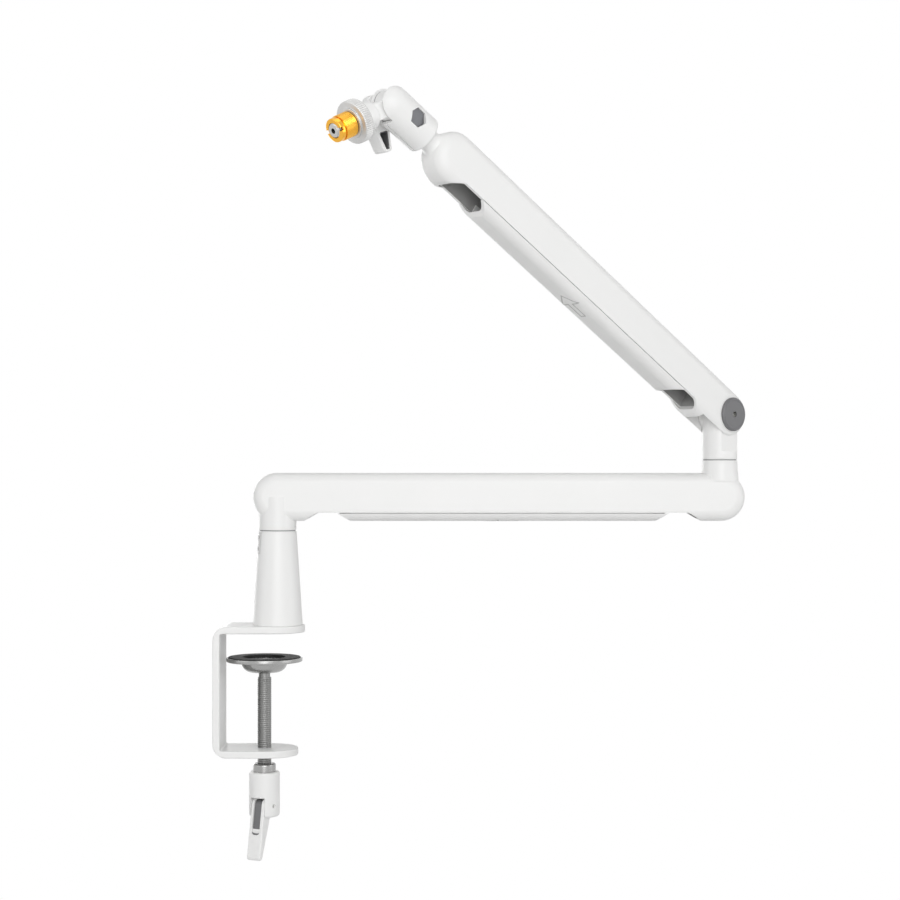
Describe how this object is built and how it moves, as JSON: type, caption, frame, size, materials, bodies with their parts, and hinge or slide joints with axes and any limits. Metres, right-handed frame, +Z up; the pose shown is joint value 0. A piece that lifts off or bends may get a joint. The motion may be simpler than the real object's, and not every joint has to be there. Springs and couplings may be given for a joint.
{
  "type": "microphone boom arm",
  "caption": "Low-profile white desk-clamp boom arm: a level swivelling lower arm, a friction-held tilting upper arm, covered cable channels, a swivel head and a gold threaded microphone mount.",
  "frame": {"origin": "on the axis of the post, at the clamp's jaw face that rests on the desk top", "axes": "+Z up along the post; +X along the lower arm, from the post to the elbow; the upper arm comes back towards the front, which is -Y"},
  "size_m": [0.3804, 0.2547, 0.5143],
  "materials": {
    "white_paint": "satin white powder coat",
    "white_plastic": "satin white",
    "pale_plate": "satin pale grey",
    "steel": "zinc plated",
    "screw_steel": "dark zinc plated",
    "dark_steel": "blackened",
    "grey_cap": "matt grey",
    "bearing_brass": "turned",
    "gold_brass": "polished gold",
    "black_washer": "matt black",
    "pad_black": "matt black"
  },
  "bodies": {
    "clamp_and_post": {"clamp_bracket": "white_paint", "post": "white_paint", "post_screws": "steel", "post_sleeve": "bearing_brass", "lock_plate": "pale_plate", "lock_screws": "screw_steel", "post_washer": "black_washer"},
    "pad": {"pad_rubber": "pad_black", "pad_plate": "steel", "pad_cup": "steel"},
    "screw": {"clamp_screw": "screw_steel", "handle_ferrule": "screw_steel", "handle_hub": "white_paint", "lever_pin": "steel"},
    "screw_lever": {"clamp_lever": "white_paint"},
    "lower": {"lower_arm": "white_paint", "swivel_shaft": "steel", "elbow_sleeve": "bearing_brass", "elbow_washer": "black_washer"},
    "lower_cable_cover": {"lower_cover": "white_plastic"},
    "elbow": {"elbow_knuckle": "white_paint", "elbow_pin": "steel", "elbow_spring_washers": "steel", "elbow_nut": "steel", "tilt_sleeve": "bearing_brass"},
    "upper": {"upper_arm": "white_paint", "friction_washers": "black_washer", "tilt_bolt": "steel", "tilt_nut": "steel", "near_pivot_cap": "grey_cap", "far_pivot_cap": "grey_cap", "head_spigot": "steel"},
    "upper_cable_cover": {"upper_cover": "white_plastic"},
    "head": {"near_head_half": "white_paint", "far_head_half": "white_paint", "pinch_bolt": "dark_steel", "pinch_nut": "dark_steel", "captive_nut": "steel", "fibre_washers": "black_washer"},
    "mount": {"mount_tongue": "white_paint", "mic_stud": "steel"},
    "ring": {"lock_ring": "steel"},
    "adapter": {"thread_adapter": "gold_brass"},
    "head_lever": {"tilt_lever": "white_paint", "lever_bolt": "steel"}
  },
  "joints": [
    {"name": "clamp_slide", "type": "slide", "parent": "clamp_and_post", "child": "pad", "axis": [0, 0, 1], "range_m": [-0.0495, 0.006]},
    {"name": "clamp_turn", "type": "hinge", "parent": "pad", "child": "screw", "pos_m": [-0.0095, 0, -0.09], "axis": [0, 0, 1], "range_deg": [-11880, 1440]},
    {"name": "lever_fold", "type": "hinge", "parent": "screw", "child": "screw_lever", "pos_m": [-0.01108, -0.00324, -0.1241], "axis": [-0.8988, 0.4384, 0], "range_deg": [-10, 80]},
    {"name": "base_swivel", "type": "hinge", "parent": "clamp_and_post", "child": "lower", "pos_m": [0, 0, 0.0734], "axis": [0, 0, 1], "continuous": true},
    {"name": "lower_cover_slide", "type": "slide", "parent": "lower", "child": "lower_cable_cover", "axis": [-1, 0, 0], "range_m": [0, 0.0135]},
    {"name": "elbow_swivel", "type": "hinge", "parent": "lower", "child": "elbow", "pos_m": [0.318, 0, 0.1241], "axis": [0, 0, 1], "continuous": true},
    {"name": "elbow_tilt", "type": "hinge", "parent": "elbow", "child": "upper", "pos_m": [0.318, 0, 0.1562], "axis": [-0.6428, 0.766, 0], "range_deg": [-31, 58]},
    {"name": "upper_cover_slide", "type": "slide", "parent": "upper", "child": "upper_cable_cover", "axis": [-0.6525, -0.5475, 0.524], "range_m": [0, 0.0152]},
    {"name": "head_roll", "type": "hinge", "parent": "upper", "child": "head", "pos_m": [0.1082, -0.17604, 0.32469], "axis": [-0.6525, -0.5475, 0.524], "continuous": true},
    {"name": "head_tilt", "type": "hinge", "parent": "head", "child": "mount", "pos_m": [0.08772, -0.19323, 0.34114], "axis": [-0.6428, 0.766, 0], "range_deg": [-17, 131]},
    {"name": "head_lever_turn", "type": "hinge", "parent": "head", "child": "head_lever", "pos_m": [0.08772, -0.19323, 0.34114], "axis": [-0.6428, 0.766, 0], "continuous": true},
    {"name": "ring_spin", "type": "hinge", "parent": "mount", "child": "ring", "pos_m": [0.06645, -0.21107, 0.3279], "axis": [-0.6914, -0.5802, -0.4305], "continuous": true},
    {"name": "adapter_spin", "type": "hinge", "parent": "mount", "child": "adapter", "pos_m": [0.05868, -0.2176, 0.32306], "axis": [-0.6914, -0.5802, -0.4305], "continuous": true}
  ],
  "couplings": [
    {"joint": "clamp_turn", "follows": "clamp_slide", "rad_per_m": 4188.8}
  ]
}
